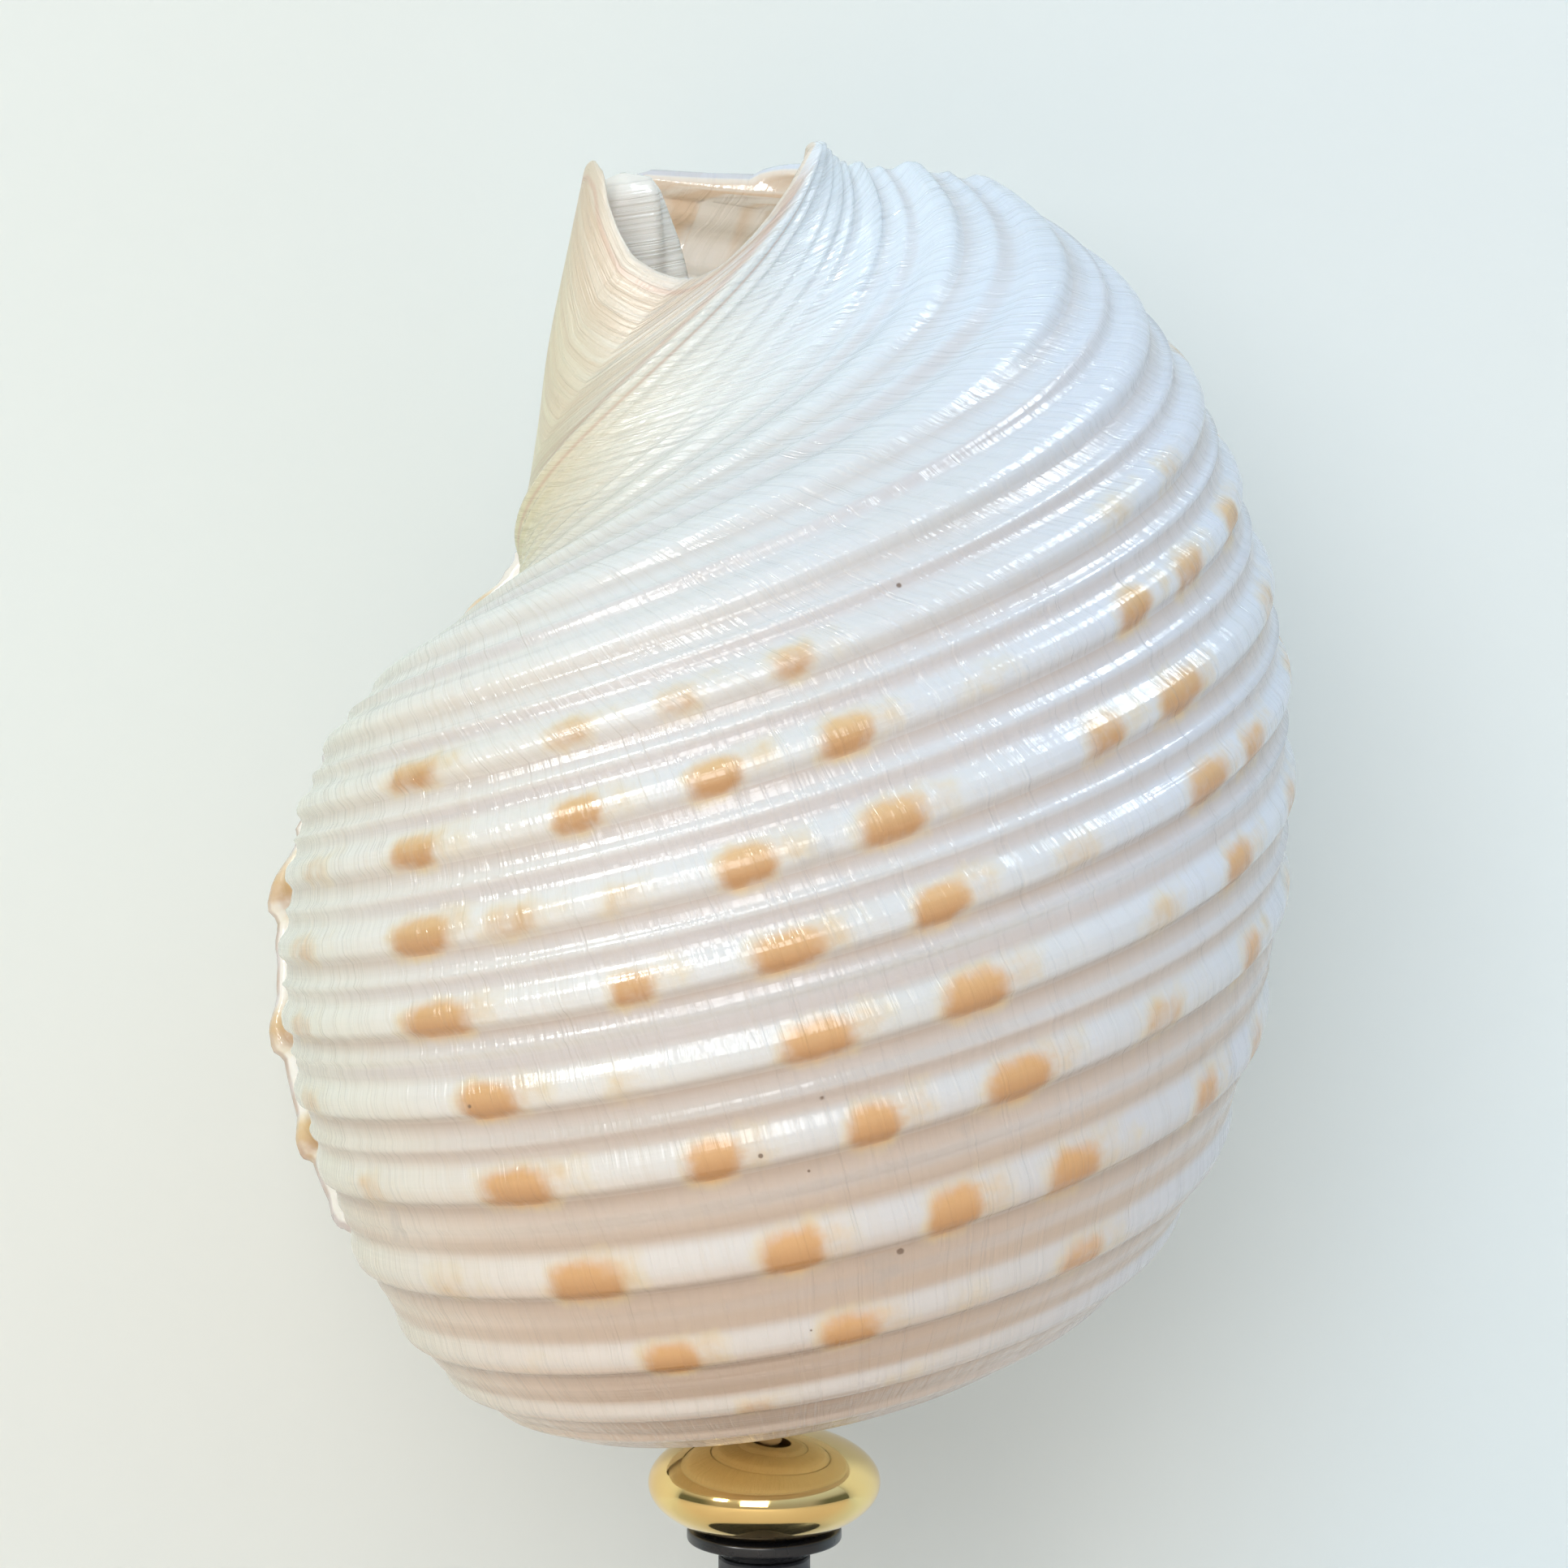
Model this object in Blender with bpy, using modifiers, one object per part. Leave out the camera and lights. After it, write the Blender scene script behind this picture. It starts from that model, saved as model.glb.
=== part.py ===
"""Tun shell standing on its spire on a small display stand. Metres, +Z up, origin under the base."""

import math

import bmesh
import bpy
from mathutils import Matrix, Vector

# Size of one drawing unit of the shell, and how the shell grows round its own axis
UNIT = 0.000084
WHORL_RATIO = 1.933
GROWTH = math.log(WHORL_RATIO) / (2 * math.pi)
WALL = 0.0017
SPIRE_LIFT = 130.0
LIFT_STARTS = math.radians(-200)

# How the shell's axis stands: tipped to the front and leaning to the left
TIP_FORWARD = math.radians(4.4)
LEAN_LEFT = math.radians(6.5)

# Generating curve from the shoulder up the outer side to the canal: radius, height, lip angle
SHOULDER = [(240, 236, 150), (306, 238, 152), (370, 241, 154)]
GROOVES = [
    (430, 268, 154),
    (500, 322, 148),
    (570, 413, 143),
    (630, 542, 137),
    (674, 693, 127),
    (698, 824, 112),
    (706, 947, 105),
    (700, 1062, 101),
    (675, 1179, 98),
    (643, 1283, 95),
    (592, 1378, 86),
    (509, 1464, 34),
    (387, 1520, 28),
    (297, 1547, 24),
    (253, 1593, 12),
]
CANAL = [
    (238, 1645, 2),
    (235, 1690, -12),
    (227, 1716, -58),
    (215, 1745, -73),
    (188, 1835, -90),
    (160, 1935, -99),
    (118, 2035, -112),
    (80, 2105, -135),
    (48, 2150, -158),
]

# A rib between two grooves: where along the gap, and how far out
RIB = [(0.12, 11.0), (0.42, 10.0)]
LAST_WHORL_START = -204
LAST_WHORL_STEPS = 24

# Earlier whorls, each a little inside the next one's wall
EARLIER_WHORLS = [(-556, -198, 0.985, 21), (-908, -550, 0.97, 16), (-1260, -902, 0.955, 12)]
NUCLEUS_RADIUS = 0.0014

# The hollow of the whorl before the last: its section, and the stretch it runs
HOLLOW_OUTER = [(480, 350), (545, 445), (602, 556), (646, 700), (670, 826), (678, 947)]
HOLLOW_OUTER += [(672, 1058), (648, 1172), (617, 1270), (570, 1358), (495, 1438), (380, 1488)]
HOLLOW_INNER = [(290, 1500), (200, 1420), (150, 1250), (150, 1050), (185, 965), (240, 912)]
HOLLOW_INNER += [(300, 880), (350, 825), (385, 730), (405, 620), (405, 560), (395, 480), (385, 400)]
HOLLOW_STRETCH = (-500, -190, 18)

PILLAR = [(120, 12), (700, 40), (1100, 62), (1400, 58), (1560, 52), (1625, 44), (1648, 26)]
PILLAR_SIDES = 12

# Stand, in metres
GAP = 0.0003
BASE_RADIUS = 0.040
BASE_HEIGHT = 0.012
BASE_ROUND = 0.002
POST_RADIUS = 0.00475
POST_LENGTH = 0.062
COLLAR_RADIUS = 0.0080
COLLAR_RIM = 0.0011
COLLAR_HEIGHT = 0.0026
KNOB_RADIUS = 0.0120
KNOB_HALF_HEIGHT = 0.0056
KNOB_FOOT = 0.0045
TURN_STEPS = 32


def clear_scene():
    for obj in list(bpy.data.objects):
        bpy.data.objects.remove(obj, do_unlink=True)


def make_collection(name, hidden=False):
    collection = bpy.data.collections.new(name)
    bpy.context.scene.collection.children.link(collection)
    collection.hide_render = hidden
    return collection


def make_material(name, colour, roughness, metallic=0.0):
    material = bpy.data.materials.new(name)
    material.use_nodes = True
    shader = material.node_tree.nodes["Principled BSDF"]
    shader.inputs["Base Color"].default_value = (*colour, 1.0)
    shader.inputs["Roughness"].default_value = roughness
    shader.inputs["Metallic"].default_value = metallic
    return material


def add_object(name, bm, collection, material=None):
    bmesh.ops.recalc_face_normals(bm, faces=bm.faces)
    mesh = bpy.data.meshes.new(name)
    bm.to_mesh(mesh)
    bm.free()
    obj = bpy.data.objects.new(name, mesh)
    collection.objects.link(obj)
    if material:
        mesh.materials.append(material)
    mesh.shade_smooth()
    mesh.set_sharp_from_angle(angle=math.radians(38))
    return obj


def add_cutter(name, bm, collection):
    obj = add_object(name, bm, collection)
    obj.hide_render = True
    obj.display_type = "WIRE"
    return obj


def stand_top():
    collar_top = BASE_HEIGHT + POST_LENGTH + COLLAR_HEIGHT + 2 * GAP
    return collar_top + GAP + KNOB_FOOT + KNOB_HALF_HEIGHT


def shell_frame():
    """From the shell's own axis frame, in units, to the world, in metres."""
    turn = Matrix.Rotation(-LEAN_LEFT, 4, "Y") @ Matrix.Rotation(TIP_FORWARD, 4, "X")
    spire_tip = turn @ Vector((0, 0, SPIRE_LIFT * UNIT - NUCLEUS_RADIUS))
    place = Matrix.Translation(Vector((0.0008, 0, stand_top() + GAP)) - spire_tip)
    return place @ turn @ Matrix.Scale(UNIT, 4)


def lift(theta):
    """How far the early whorls are pushed up, which keeps the spire low."""
    if theta > LIFT_STARTS:
        return 0.0
    return SPIRE_LIFT * (1 - math.exp(GROWTH * (theta - LIFT_STARTS)))


def on_spiral(radius, height, theta):
    grown = math.exp(GROWTH * theta)
    x = grown * radius * math.cos(theta)
    y = grown * radius * math.sin(theta)
    return Vector((x, y, grown * height + lift(theta)))


def ribbed_curve():
    """The generating curve with a rib raised between each two grooves."""
    curve = list(SHOULDER)
    for here, after in zip(GROOVES, GROOVES[1:]):
        along = Vector(after[:2]) - Vector(here[:2])
        outward = Vector((along.y, -along.x)).normalized()
        curve.append(here)
        for share, height in RIB:
            point = Vector(here[:2]) + along * share + outward * height
            curve.append((point.x, point.y, here[2] + (after[2] - here[2]) * share))
    return curve + [GROOVES[-1]] + CANAL


def last_whorl(place):
    """Open surface from where the whorl leaves the earlier ones to the lip."""
    bm = bmesh.new()
    rows = []
    for radius, height, lip in ribbed_curve():
        row = []
        for step in range(LAST_WHORL_STEPS + 1):
            angle = LAST_WHORL_START + (lip - LAST_WHORL_START) * step / LAST_WHORL_STEPS
            row.append(bm.verts.new(place @ on_spiral(radius, height, math.radians(angle))))
        rows.append(row)
    for low, high in zip(rows, rows[1:]):
        for step in range(LAST_WHORL_STEPS):
            bm.faces.new((low[step], low[step + 1], high[step + 1], high[step]))
    return bm


def earlier_section(share):
    """Section of an earlier whorl, closed along the axis."""
    outer = [(r * share, h * share) for r, h, _ in SHOULDER + GROOVES + CANAL]
    return [(3, outer[0][1])] + outer + [(3, outer[-1][1]), (3, 1200)]


def swept(place, section, start, end, steps):
    """Solid: one closed section carried round the axis as the shell grows."""
    bm = bmesh.new()
    loops = []
    for step in range(steps + 1):
        theta = math.radians(start + (end - start) * step / steps)
        loops.append([bm.verts.new(place @ on_spiral(r, h, theta)) for r, h in section])
    for here, after in zip(loops, loops[1:]):
        for i in range(len(section)):
            j = (i + 1) % len(section)
            bm.faces.new((here[i], after[i], after[j], here[j]))
    bm.faces.new(loops[0])
    bm.faces.new(list(reversed(loops[-1])))
    return bm


def pillar(place):
    """The columella: a slim round pillar along the axis."""
    bm = bmesh.new()
    loops = []
    for height, radius in PILLAR:
        loop = []
        for side in range(PILLAR_SIDES):
            angle = 2 * math.pi * side / PILLAR_SIDES
            spot = Vector((radius * math.cos(angle), radius * math.sin(angle), height))
            loop.append(bm.verts.new(place @ spot))
        loops.append(loop)
    edges = []
    for loop in loops:
        edges.append([bm.edges.new((loop[i - 1], loop[i])) for i in range(PILLAR_SIDES)])
    for low, high in zip(edges, edges[1:]):
        bmesh.ops.bridge_loops(bm, edges=low + high)
    bm.faces.new(loops[0])
    bm.faces.new(loops[-1])
    return bm


def nucleus(place):
    bm = bmesh.new()
    centre = place @ Vector((0, 0, SPIRE_LIFT))
    bmesh.ops.create_icosphere(bm, subdivisions=2, radius=NUCLEUS_RADIUS)
    bmesh.ops.translate(bm, vec=centre, verts=bm.verts)
    return bm


def turned(name, profile, collection, material):
    """Solid of revolution about the post's axis from a profile listed top to bottom."""
    bm = bmesh.new()
    spots = [bm.verts.new((radius, 0, height)) for radius, height in profile]
    for here, after in zip(spots, spots[1:]):
        bm.edges.new((here, after))
    mesh = bpy.data.meshes.new(name)
    bm.to_mesh(mesh)
    bm.free()
    obj = bpy.data.objects.new(name, mesh)
    collection.objects.link(obj)
    mesh.materials.append(material)
    screw = obj.modifiers.new("Turn", "SCREW")
    screw.steps = TURN_STEPS
    screw.render_steps = TURN_STEPS
    screw.use_merge_vertices = True
    screw.merge_threshold = 0.00001
    screw.use_smooth_shade = True
    return obj


def combine(obj, other, operation):
    step = obj.modifiers.new(operation.title() + " " + other.name, "BOOLEAN")
    step.operation = operation
    step.solver = "EXACT"
    step.object = other


def build_shell(collection, helpers, material):
    place = shell_frame()
    shell = add_object("shell", last_whorl(place), collection, material)
    wall = shell.modifiers.new("Wall", "SOLIDIFY")
    wall.thickness = WALL
    wall.offset = -1
    for number, (start, end, share, steps) in enumerate(EARLIER_WHORLS, 1):
        whorl = swept(place, earlier_section(share), start, end, steps)
        combine(shell, add_cutter(f"whorl_{number}", whorl, helpers), "UNION")
    hollow = swept(place, HOLLOW_OUTER + HOLLOW_INNER, *HOLLOW_STRETCH)
    combine(shell, add_cutter("hollow", hollow, helpers), "DIFFERENCE")
    combine(shell, add_cutter("pillar", pillar(place), helpers), "UNION")
    combine(shell, add_cutter("nucleus", nucleus(place), helpers), "UNION")


def arc(radius, half_height, centre, first, last, count):
    spots = []
    for i in range(count + 1):
        angle = math.radians(first + (last - first) * i / count)
        spots.append((radius * math.cos(angle), centre + half_height * math.sin(angle)))
    return spots


def build_stand(collection, brass, black, satin):
    base = [(0, BASE_HEIGHT), (BASE_RADIUS - BASE_ROUND, BASE_HEIGHT)]
    middle = BASE_HEIGHT - BASE_ROUND
    base += arc(BASE_ROUND, BASE_ROUND, middle, 90, 0, 4)[1:]
    base = [(r + (BASE_RADIUS - BASE_ROUND if i > 1 else 0), h) for i, (r, h) in enumerate(base)]
    base += [(BASE_RADIUS, 0), (0, 0)]
    turned("base", base, collection, black)
    foot = BASE_HEIGHT + GAP
    top = foot + POST_LENGTH
    post = [(0, top), (POST_RADIUS, top), (POST_RADIUS, foot), (0, foot)]
    turned("post", post, collection, satin)
    low = top + GAP
    high = low + COLLAR_HEIGHT
    collar = [(0, high), (COLLAR_RADIUS, high), (COLLAR_RADIUS, high - COLLAR_RIM)]
    collar += [(POST_RADIUS + 0.0006, low + 0.0004), (POST_RADIUS, low), (0, low)]
    turned("collar", collar, collection, black)
    centre = high + GAP + KNOB_FOOT
    ends = math.degrees(math.asin(KNOB_FOOT / KNOB_HALF_HEIGHT))
    knob = arc(KNOB_RADIUS, KNOB_HALF_HEIGHT, centre, 90, -ends, 10)
    knob[0] = (0, centre + KNOB_HALF_HEIGHT)
    knob.append((0, centre - KNOB_FOOT))
    turned("knob", knob, collection, brass)


def main():
    clear_scene()
    parts = make_collection("tun_shell_on_stand")
    helpers = make_collection("helpers", hidden=True)
    cream = make_material("shell", (0.86, 0.82, 0.76), 0.25)
    brass = make_material("brass", (0.80, 0.56, 0.22), 0.08, 1.0)
    black = make_material("black", (0.015, 0.015, 0.017), 0.3)
    satin = make_material("satin_black", (0.02, 0.02, 0.022), 0.45)
    build_shell(parts, helpers, cream)
    build_stand(parts, brass, black, satin)


main()
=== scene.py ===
# %% [markdown]
# # A tun shell on its stand
#
# A tun shell grows by one simple rule: each turn is the same curve again, only larger.
# So this scene draws the shell the way the animal made it. One curve is carried round the
# axis while it grows, ribs are raised on it, and the spots are laid on the ribs.
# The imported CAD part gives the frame, and every piece here rides on it.

# %% Load the frame
import math

import bmesh
import bpy
import numpy as np
from mathutils import Matrix, Vector


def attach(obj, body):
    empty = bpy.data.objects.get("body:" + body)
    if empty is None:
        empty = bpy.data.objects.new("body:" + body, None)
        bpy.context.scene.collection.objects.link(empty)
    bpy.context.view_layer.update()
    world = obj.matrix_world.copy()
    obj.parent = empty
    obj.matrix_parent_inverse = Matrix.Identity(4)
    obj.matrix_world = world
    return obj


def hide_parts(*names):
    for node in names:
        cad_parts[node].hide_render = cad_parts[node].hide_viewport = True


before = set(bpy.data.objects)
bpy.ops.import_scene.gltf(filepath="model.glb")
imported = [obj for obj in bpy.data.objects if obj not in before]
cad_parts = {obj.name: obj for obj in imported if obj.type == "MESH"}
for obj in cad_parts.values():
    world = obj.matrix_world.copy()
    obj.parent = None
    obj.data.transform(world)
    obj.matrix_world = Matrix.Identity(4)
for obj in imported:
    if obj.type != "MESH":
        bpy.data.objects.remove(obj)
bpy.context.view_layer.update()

# %% [markdown]
# ## Where the shell stands
#
# The shell is drawn in its own units round its own axis, 0.084 mm to a unit, and a matrix
# places it in the world. It stands spire down, leaning to the left and tipped forward.
# The lowest point of the spire, the nucleus, rests on the knob, so the stand's heights
# come first. Numbers kept in one place can't drift apart between the shell and the stand.

# %% Place the shell's axis
BASE_HEIGHT, POST_LENGTH, COLLAR_HEIGHT, GAP = 0.012, 0.062, 0.0026, 0.0003
KNOB_WIDTH, KNOB_HALF_HEIGHT, KNOB_BELOW = 0.012, 0.0056, 0.0045
KNOB_TOP = BASE_HEIGHT + POST_LENGTH + COLLAR_HEIGHT + 3 * GAP + KNOB_BELOW + KNOB_HALF_HEIGHT

UNIT = 0.000084
GROWTH = math.log(1.933) / (2 * math.pi)
SPIRE_LIFT = 130.0
LIFT_STARTS = math.radians(-200)
NUCLEUS_RADIUS = 0.0014
LEAN_LEFT, TIP_FORWARD = math.radians(6.5), math.radians(4.4)
FOOT_RIGHT = 0.0008

turn = Matrix.Rotation(-LEAN_LEFT, 4, "Y") @ Matrix.Rotation(TIP_FORWARD, 4, "X")
tip = turn @ Vector((0, 0, SPIRE_LIFT * UNIT - NUCLEUS_RADIUS))
place = Matrix.Translation(Vector((FOOT_RIGHT, 0, KNOB_TOP + GAP)) - tip) @ turn
place = place @ Matrix.Scale(UNIT, 4)
print("knob's top at mm:", round(KNOB_TOP * 1000, 2))

# %% [markdown]
# ## The camera
#
# The photograph looks slightly down at the shell from about half a metre.
# The camera is placed from the pole, the point that the whole spiral grows from. It could
# be placed by eye, but from the pole it moves with the shell and the picture stays the same.
# The pole lies 898 units below the middle of the picture and 5500 units away.

# %% Camera
PITCH = math.radians(6)
POLE_LEFT, POLE_BELOW, POLE_AWAY = 2, 898, 5500
IMAGE_WIDTH, SENSOR_WIDTH = 1932, 36

right = Vector((1, 0, 0))
up = Vector((0, math.sin(PITCH), math.cos(PITCH)))
forward = Vector((0, math.cos(PITCH), -math.sin(PITCH)))
pole = place @ Vector((0, 0, 0))
eye = pole - (-POLE_LEFT * right - POLE_BELOW * up + POLE_AWAY * forward) * UNIT

camera = bpy.data.objects.new("camera", bpy.data.cameras.new("camera"))
bpy.context.scene.collection.objects.link(camera)
camera.location = eye
camera.rotation_euler = (math.pi / 2 - PITCH, 0, 0)
camera.data.lens = POLE_AWAY / IMAGE_WIDTH * SENSOR_WIDTH
camera.data.sensor_width = SENSOR_WIDTH
camera.data.clip_start = 0.02
bpy.context.scene.camera = camera
print("camera at", [round(v, 3) for v in eye])

# %% [markdown]
# ## Small helpers for materials
#
# Every material here is made of nodes. These helpers keep each step to one line:
# `node` adds a node and sets its sockets, and a value that is itself a socket gets linked.
# A socket is named by its label, or as i0, i1 and so on by its place.

# %% Making nodes
def new_material(name):
    material = bpy.data.materials.new(name)
    material.use_nodes = True
    tree = material.node_tree
    return material, tree, tree.nodes["Principled BSDF"]


def node(tree, kind, settings=None, **sockets):
    made = tree.nodes.new(kind)
    for key, value in (settings or {}).items():
        setattr(made, key, value)
    for key, value in sockets.items():
        name = key.replace("_", " ")
        by_place = name[0] == "i" and name[1:].isdigit()
        slot = made.inputs[int(name[1:])] if by_place else made.inputs[name]
        if isinstance(value, bpy.types.NodeSocket):
            tree.links.new(value, slot)
        else:
            slot.default_value = value
    return made


def attribute(tree, name):
    return node(tree, "ShaderNodeAttribute", {"attribute_name": name}).outputs["Fac"]


def combine(tree, x, y):
    return node(tree, "ShaderNodeCombineXYZ", None, X=x, Y=y, Z=0.0).outputs[0]


def object_coords(tree):
    return node(tree, "ShaderNodeTexCoord").outputs["Object"]


def noise(tree, vector, scale, detail=3.0, roughness=0.5):
    made = node(tree, "ShaderNodeTexNoise", None,
                Vector=vector, Scale=scale, Detail=detail, Roughness=roughness)
    return made.outputs[0]


# %% [markdown]
# ## Masks and mixes
#
# A mask is a number from 0 to 1 that says where a colour shows. `smooth` makes one from a
# range, `near` makes one round a place, and `times` keeps what several masks share.
# `mix` lays one colour over another by a mask, and `tinted` only shifts the colour.

# %% Masks and mixes
def maths(tree, operation, a, b=0.0, clamp=False):
    settings = {"operation": operation, "use_clamp": clamp}
    return node(tree, "ShaderNodeMath", settings, i0=a, i1=b).outputs[0]


def times(tree, value, *others):
    for other in others:
        value = maths(tree, "MULTIPLY", value, other)
    return value


def smooth(tree, value, low, high, to_low=0.0, to_high=1.0):
    made = node(tree, "ShaderNodeMapRange", {"interpolation_type": "SMOOTHSTEP"},
                Value=value, From_Min=low, From_Max=high, To_Min=to_low, To_Max=to_high)
    return made.outputs[0]


def near(tree, value, centre, reach, full, most=1.0):
    """As much as `most` within `full` of the centre, and 0 past `reach`."""
    away = maths(tree, "ABSOLUTE", maths(tree, "SUBTRACT", value, centre))
    return smooth(tree, away, reach, full, 0.0, most)


def mix(tree, share, a, b, blend="MIX"):
    settings = {"data_type": "RGBA", "blend_type": blend}
    return node(tree, "ShaderNodeMix", settings, i0=share, i6=a, i7=b).outputs[2]


def tinted(tree, share, colour, factor):
    return mix(tree, share, colour, mix(tree, 1.0, colour, factor, "MULTIPLY"))


# %% [markdown]
# ## Lights
#
# The shell stands in soft light from above, with one large lamp low in front of it.
# Two windows, at the upper left and the upper right, draw the broken streaks along the ribs.
# They are kept out of diffuse light, because as full lamps they would throw shadows of their
# own on the wall, and the photograph has none.

# %% Lights
LIGHT_AIM = Vector((0, 0, 0.16))


def area_light(name, spot, size, power, colour):
    data = bpy.data.lights.new(name, "AREA")
    data.shape = "RECTANGLE"
    data.size, data.size_y = size
    data.energy = power
    data.color = colour
    lamp = bpy.data.objects.new(name, data)
    bpy.context.scene.collection.objects.link(lamp)
    lamp.location = spot
    lamp.rotation_euler = (LIGHT_AIM - Vector(spot)).to_track_quat("-Z", "Y").to_euler()
    return lamp


area_light("key", (-0.17, -1.0, 0.46), (0.5, 0.5), 4.8, (1.0, 0.99, 0.97))
windows = [
    area_light("window_left", (-0.70, -0.70, 0.62), (0.22, 0.34), 9.0, (1.0, 0.99, 0.95)),
    area_light("window_right", (0.72, 0.0, 0.98), (0.22, 0.34), 7.0, (0.85, 0.95, 1.0))]
for window in windows:
    window.visible_diffuse = False
print("lamps:", 1 + len(windows))

# %% [markdown]
# ## The sky
#
# The sky is bright and cool overhead and warm and dim below, as in a pale room with a wooden
# floor. That is what makes each rib white on its upper side and peach underneath.
# A darker patch on either side gives the knob something to reflect. The camera itself sees
# one plain pale colour past the wall, and the plain view transform keeps it that pale.

# %% Sky
world = bpy.data.worlds.new("soft_sky")
bpy.context.scene.world = world
world.use_nodes = True
sky = world.node_tree
FLOOR_GLOW, ROOM, OVERHEAD = (0.42, 0.30, 0.23, 1), (0.54, 0.52, 0.50, 1), (1.04, 1.16, 1.25, 1)
LEFT_LIGHT_TINT, RIGHT_LIGHT_TINT = (1.02, 1.01, 0.95, 1), (0.86, 0.98, 1.12, 1)
DARK_SIDE, SEEN_SKY = (0.10, 0.13, 0.10, 1), (1.02, 1.06, 1.07, 1)

direction = node(sky, "ShaderNodeTexCoord").outputs["Generated"]
parts = node(sky, "ShaderNodeSeparateXYZ", None, Vector=direction).outputs
room = mix(sky, smooth(sky, parts["Z"], -0.6, 0.15), FLOOR_GLOW, ROOM)
room = mix(sky, smooth(sky, parts["Z"], 0.1, 0.9), room, OVERHEAD)
tint = mix(sky, smooth(sky, parts["X"], -0.6, 0.6), LEFT_LIGHT_TINT, RIGHT_LIGHT_TINT)
room = mix(sky, 1.0, room, tint, "MULTIPLY")
sideways = smooth(sky, maths(sky, "ABSOLUTE", parts["X"]), 0.70, 0.92)
dark_sides = times(sky, sideways, smooth(sky, parts["Z"], 0.40, 0.20), 0.85)
room = mix(sky, dark_sides, room, DARK_SIDE)

seen = node(sky, "ShaderNodeLightPath").outputs["Is Camera Ray"]
background = sky.nodes["Background"]
sky.links.new(mix(sky, seen, room, SEEN_SKY), background.inputs["Color"])
background.inputs["Strength"].default_value = 0.82
bpy.context.scene.view_settings.view_transform = "Standard"
print("sky made")

# %% [markdown]
# ## The backdrop
#
# The photograph has no line between table and wall. A studio gets that with paper that
# bends up behind the subject, and so does this: one profile line, flat, then a quarter
# circle, then upright, is extruded sideways. A plane and a wall would show their corner.

# %% Backdrop
WALL_AT, BEND, WALL_TOP = 0.086, 0.040, 1.2
FRONT_EDGE, LEFT_EDGE, WALL_LENGTH = -3.0, -3.0, 6.0


def to_object(bm, name):
    """Turn a bmesh into a smoothly shaded object in the scene."""
    mesh = bpy.data.meshes.new(name)
    bm.to_mesh(mesh)
    bm.free()
    mesh.shade_smooth()
    obj = bpy.data.objects.new(name, mesh)
    bpy.context.scene.collection.objects.link(obj)
    return obj


bm = bmesh.new()
path = [(FRONT_EDGE, 0.0), (WALL_AT - BEND, 0.0)]
for angle in np.radians(range(5, 91, 5)):
    path.append((WALL_AT - BEND + BEND * math.sin(angle), BEND - BEND * math.cos(angle)))
path.append((WALL_AT, WALL_TOP))
spine = [bm.verts.new((LEFT_EDGE, y, z)) for y, z in path]
edges = [bm.edges.new(pair) for pair in zip(spine, spine[1:])]
swept = bmesh.ops.extrude_edge_only(bm, edges=edges)["geom"]
far_side = [element for element in swept if isinstance(element, bmesh.types.BMVert)]
bmesh.ops.translate(bm, vec=(WALL_LENGTH, 0, 0), verts=far_side)
bm.normal_update()
bm.faces.ensure_lookup_table()
if bm.faces[0].normal.z < 0:
    bmesh.ops.reverse_faces(bm, faces=bm.faces)
backdrop = to_object(bm, "backdrop")
print("backdrop:", len(backdrop.data.polygons), "faces")

# %% [markdown]
# ## The wall's colour
#
# The wall is a pale grey-green with a painted tint of the room's light, warmer on the left and
# bluer to the right, and it turns beige low down on the left.
# The floor in front of it is a warmer tone, which also warms the shell from below.
# Seen from behind the wall is clear, so that the back of the shell can be looked at.

# %% Wall material
WARM_LIT_WALL, COOL_LIT_WALL, WALL_CLOUD = (0.84, 0.88, 0.83, 1), (0.81, 0.90, 0.94, 1), (0.84, 0.89, 0.88, 1)
LOW_WALL, FLOOR = (0.86, 0.83, 0.77, 1), (0.82, 0.68, 0.57, 1)

wall, tree, shader = new_material("pale_wall")
coords = object_coords(tree)
parts = node(tree, "ShaderNodeSeparateXYZ", None, Vector=coords).outputs
# Painted light: the wall shifts from a warm tint on the left to a cool tint on the right.
cloud_and_light_tint = mix(tree, smooth(tree, parts["X"], -0.07, 0.09), WARM_LIT_WALL, COOL_LIT_WALL)
cloud_and_light_tint = mix(tree, noise(tree, coords, 9.0, 2), cloud_and_light_tint, WALL_CLOUD)
low_left = times(tree, smooth(tree, parts["Z"], 0.17, 0.06, 0.0, 0.5), smooth(tree, parts["X"], 0.09, 0.03))
cloud_and_light_tint = mix(tree, low_left, cloud_and_light_tint, LOW_WALL)
cloud_and_light_tint = mix(tree, smooth(tree, parts["Y"], -0.05, 0.07), FLOOR, cloud_and_light_tint)
tree.links.new(cloud_and_light_tint, shader.inputs["Base Color"])
shader.inputs["Roughness"].default_value = 0.9

clear = node(tree, "ShaderNodeBsdfTransparent").outputs[0]
behind = node(tree, "ShaderNodeNewGeometry").outputs["Backfacing"]
open_back = node(tree, "ShaderNodeMixShader", None, i0=behind)
tree.links.new(shader.outputs[0], open_back.inputs[1])
tree.links.new(clear, open_back.inputs[2])
tree.links.new(open_back.outputs[0], tree.nodes["Material Output"].inputs["Surface"])
backdrop.data.materials.append(wall)
print("wall material made")

# %% [markdown]
# ## The generating curve
#
# The mouth's edge is the curve that the animal carries round the axis. It runs from the
# shoulder, up the outer side of the whorl, over the ridge and up to the canal. Each point
# has a radius and a height, and the lip table says at which angle the shell ends there.
# The points from the fourth to the eighteenth lie in the grooves between the ribs,
# so the place along the curve also says which rib a point is on.

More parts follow.
